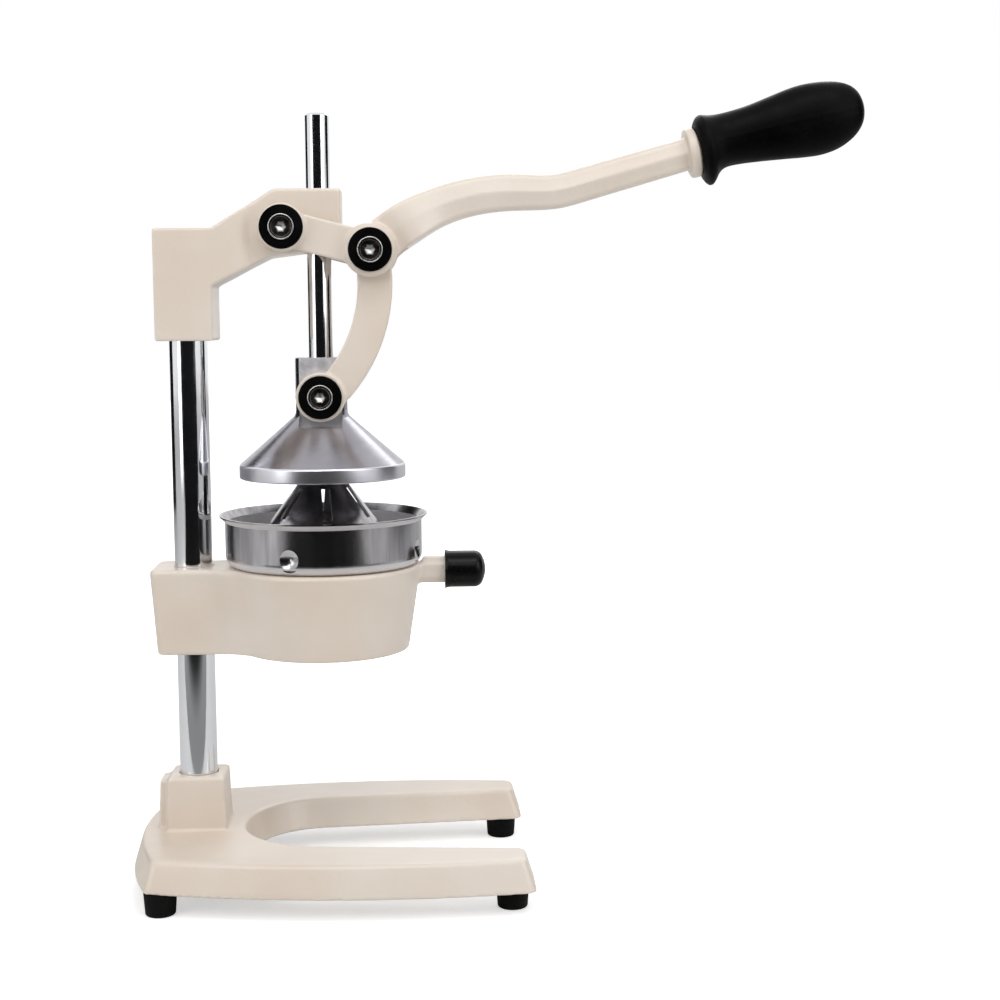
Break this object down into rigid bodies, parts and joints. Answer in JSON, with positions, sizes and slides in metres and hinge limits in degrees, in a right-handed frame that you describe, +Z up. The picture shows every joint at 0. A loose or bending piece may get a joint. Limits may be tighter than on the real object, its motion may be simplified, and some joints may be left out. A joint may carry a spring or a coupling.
{
  "type": "lever citrus juice press",
  "caption": "Upright citrus press: a forked lever on a column head drives a conical cup down a guided shaft, over a slotted reamer in a strainer bowl, by a curved connecting rod.",
  "frame": {"origin": "on the counter, under the axis of the shaft, cup and reamer", "axes": "+Z up, +X from the column towards the bay's open front and the grip, +Y to the far side"},
  "size_m": [0.4324, 0.187, 0.4667],
  "materials": {
    "cream_enamel": "baked cream enamel over a slightly rough casting, soft gloss",
    "polished_chrome": "mirror-bright chrome plate",
    "satin_cup": "polished cast aluminium",
    "stainless": "brushed stainless sheet",
    "black_plastic": "matte black moulding",
    "black_vinyl": "dipped black vinyl, soft gloss",
    "black_rubber": "matte black rubber",
    "zinc_steel": "zinc-plated steel",
    "black_screws": "dark oxide finish",
    "bush_bronze": "plain sintered bronze"
  },
  "bodies": {
    "frame": {"base_casting": "cream_enamel", "foot_rear_near": "black_rubber", "foot_rear_far": "black_rubber", "foot_front_near": "black_rubber", "foot_front_far": "black_rubber", "foot_screws": "zinc_steel", "column": "polished_chrome", "column_washer": "zinc_steel", "column_bolt": "zinc_steel", "bowl_holder": "cream_enamel", "holder_grub_screw": "black_screws", "holder_grip_cap": "black_vinyl", "strainer_bowl": "stainless", "reamer_cone": "stainless", "juice_funnel": "stainless", "head_casting": "cream_enamel", "shaft_guide_bush": "bush_bronze", "head_grub_screw": "black_screws"},
    "lever": {"lever_casting": "cream_enamel", "lever_grip": "black_plastic", "head_pivot_pin": "zinc_steel", "head_pivot_bushes": "black_plastic", "head_pivot_rings": "polished_chrome", "head_pivot_screws": "black_screws", "link_pivot_pin": "zinc_steel", "link_pivot_bushes": "black_plastic", "link_pivot_rings": "polished_chrome", "link_pivot_screws": "black_screws"},
    "con_rod": {"connecting_rod": "cream_enamel", "yoke_pin": "zinc_steel", "yoke_bushes": "black_plastic", "yoke_rings": "polished_chrome", "yoke_screws": "black_screws"},
    "plunger": {"plunger_shaft": "polished_chrome", "press_cup": "satin_cup"}
  },
  "joints": [
    {"name": "lever_swing", "type": "hinge", "parent": "frame", "child": "lever", "pos_m": [-0.02, 0, 0.383], "axis": [0, -1, 0], "range_deg": [-12, 45]},
    {"name": "plunger_slide", "type": "slide", "parent": "frame", "child": "plunger", "axis": [0, 0, 1], "range_m": [-0.0103, 0.0385]},
    {"name": "rod_swing", "type": "hinge", "parent": "plunger", "child": "con_rod", "pos_m": [0, 0, 0.286], "axis": [0, -1, 0], "range_deg": [-0.3, 1]}
  ],
  "couplings": [
    {"joint": "plunger_slide", "follows": "lever_swing", "m_per_rad": 0.04894},
    {"joint": "rod_swing", "follows": "lever_swing", "ratio": 0.0198}
  ]
}
